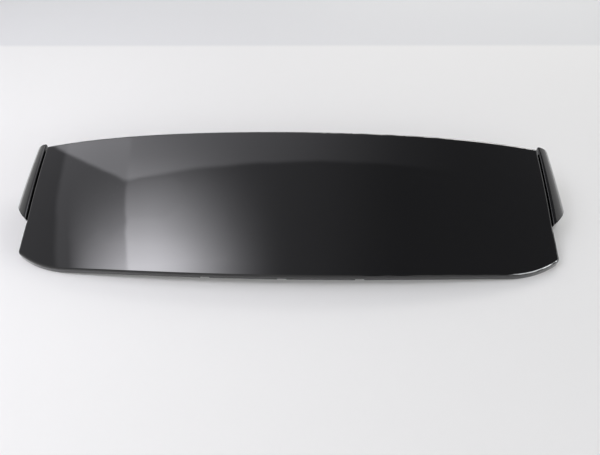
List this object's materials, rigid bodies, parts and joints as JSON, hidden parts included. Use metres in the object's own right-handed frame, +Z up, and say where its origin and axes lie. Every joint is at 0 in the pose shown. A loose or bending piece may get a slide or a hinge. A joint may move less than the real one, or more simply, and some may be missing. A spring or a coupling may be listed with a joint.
{
  "type": "rear roof spoiler",
  "caption": "Long crowned rear roof spoiler with a gloss black bonded blade, separate rounded side flaps, and studs, clips and seals under it for fixing on top of a tailgate.",
  "frame": {"origin": "on the ground under the middle of the part's box, as it lies on its flaps and the ends of its trailing lip", "axes": "+X across the car, +Y forward to the roof edge, +Z up"},
  "size_m": [1.1862, 0.304, 0.149],
  "materials": {
    "paint": "gloss black paint under clear coat",
    "moulding": "fine moulded grain",
    "adhesive": "cured adhesive",
    "steel": "zinc plated",
    "spring_steel": "dark coated spring steel",
    "foam": "closed-cell foam",
    "rubber": "matte extruded rubber"
  },
  "bodies": {
    "root": {"upper_skin": "paint", "left_flap": "paint", "right_flap": "paint", "lower_skin": "moulding", "bond_bead": "adhesive", "left_flap_screws": "steel", "right_flap_screws": "steel", "mounting_studs": "steel", "spring_clips": "spring_steel", "stud_gaskets": "foam", "locating_pegs": "moulding", "clip_carriers": "moulding", "foam_seal": "foam", "front_seal": "rubber"}
  },
  "joints": []
}
